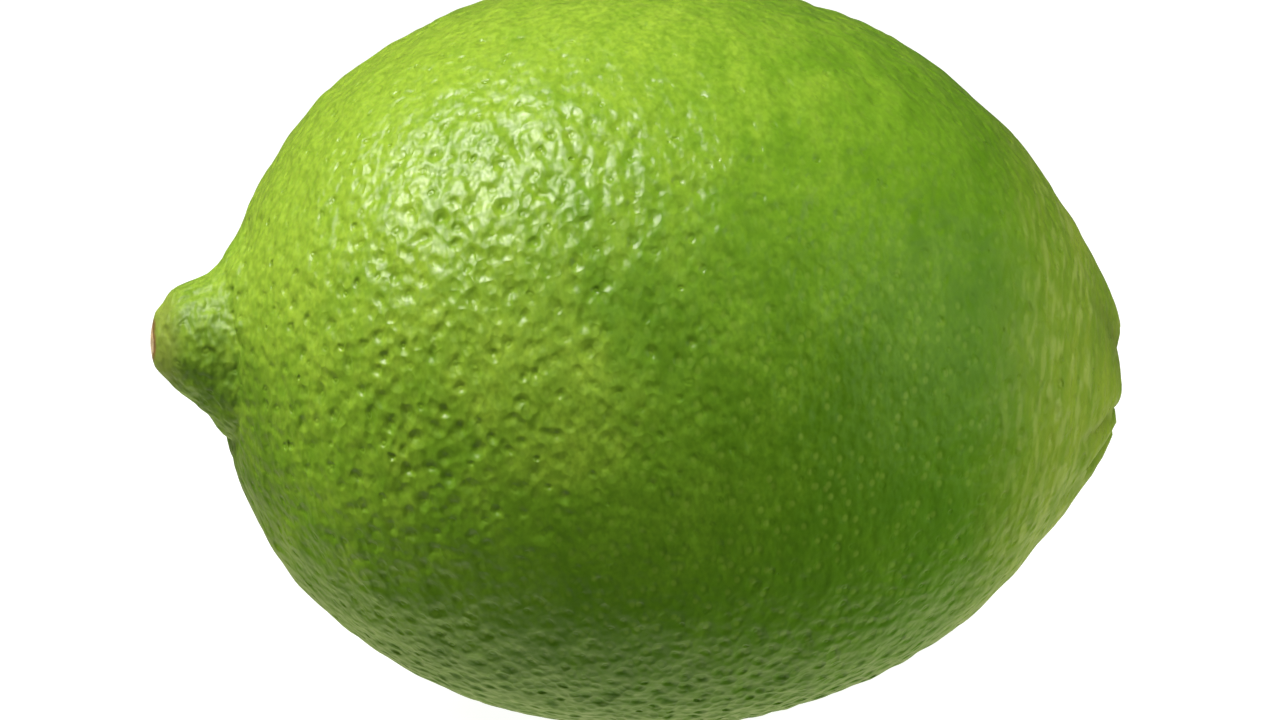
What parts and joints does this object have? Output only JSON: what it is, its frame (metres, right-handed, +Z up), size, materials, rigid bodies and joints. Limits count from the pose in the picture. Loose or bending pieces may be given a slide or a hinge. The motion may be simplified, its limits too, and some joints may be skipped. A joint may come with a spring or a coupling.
{
  "type": "lime",
  "caption": "Whole green lime lying on its side, with a pitted peel, a blunt nipple at the blossom end and a dried calyx at the stem end.",
  "frame": {"origin": "on the surface that the fruit lies on, under the middle of its bounding box", "axes": "+X along the fruit from the nipple at its blossom end to the stem end, +Z up, -Y towards the side shown in the picture"},
  "size_m": [0.0692, 0.0536, 0.0536],
  "materials": {
    "peel": "semi-gloss waxy citrus peel",
    "calyx": "matt and dry"
  },
  "bodies": {
    "root": {"lime_fruit": "peel", "calyx_button": "calyx"}
  },
  "joints": []
}
